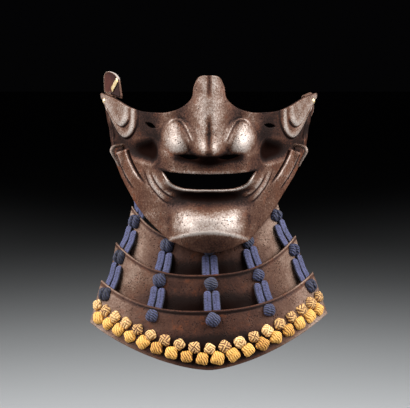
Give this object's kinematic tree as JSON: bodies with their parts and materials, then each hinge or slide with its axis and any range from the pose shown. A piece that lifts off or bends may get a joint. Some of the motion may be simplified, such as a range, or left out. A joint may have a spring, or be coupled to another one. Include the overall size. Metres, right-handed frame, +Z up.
{
  "type": "samurai face guard",
  "caption": "Russet iron half-mask with a nose, open mouth, cord hooks and hinged ear flaps, and a throat guard of curved lames hung on flat silk lacing.",
  "frame": {"origin": "where the wearer's chin rests, just inside the chin of the plate on its middle plane", "axes": "+Z up towards the bridge of the nose, -Y out of the face, +X to the right as seen from the front"},
  "size_m": [0.1827, 0.1279, 0.2184],
  "materials": {
    "russet_iron": "hammered iron with a russet brown patina, semi-gloss, lacquered red-brown inside",
    "blue_silk": "flat braided indigo silk",
    "gold_silk": "braided gold silk knots",
    "gilt_metal": "worn gilding"
  },
  "bodies": {
    "face_guard": {"face_plate": "russet_iron", "throat_lame_top": "russet_iron", "throat_lame_middle": "russet_iron", "throat_lame_bottom": "russet_iron", "lacing_far_left": "blue_silk", "lacing_left": "blue_silk", "lacing_centre": "blue_silk", "lacing_right": "blue_silk", "lacing_far_right": "blue_silk", "gold_knots_upper": "gold_silk", "gold_knots_lower": "gold_silk", "cord_hook_left": "russet_iron", "cord_hook_right": "russet_iron", "ear_rivet_left": "gilt_metal", "ear_rivet_right": "gilt_metal", "hinge_pin_left": "russet_iron", "hinge_pin_right": "russet_iron"},
    "left_flap": {"ear_flap_left": "russet_iron", "flap_edge_left": "gilt_metal"},
    "right_flap": {"ear_flap_right": "russet_iron", "flap_edge_right": "gilt_metal"}
  },
  "joints": [
    {"name": "left_flap_hinge", "type": "hinge", "parent": "face_guard", "child": "left_flap", "pos_m": [-0.07521, 0.08013, 0.09206], "axis": [-0.3988, 0.9096, 0.1163], "range_deg": [0, 170]},
    {"name": "right_flap_hinge", "type": "hinge", "parent": "face_guard", "child": "right_flap", "pos_m": [0.07521, 0.08013, 0.09206], "axis": [0.3988, 0.9096, 0.1163], "range_deg": [0, 170]}
  ]
}
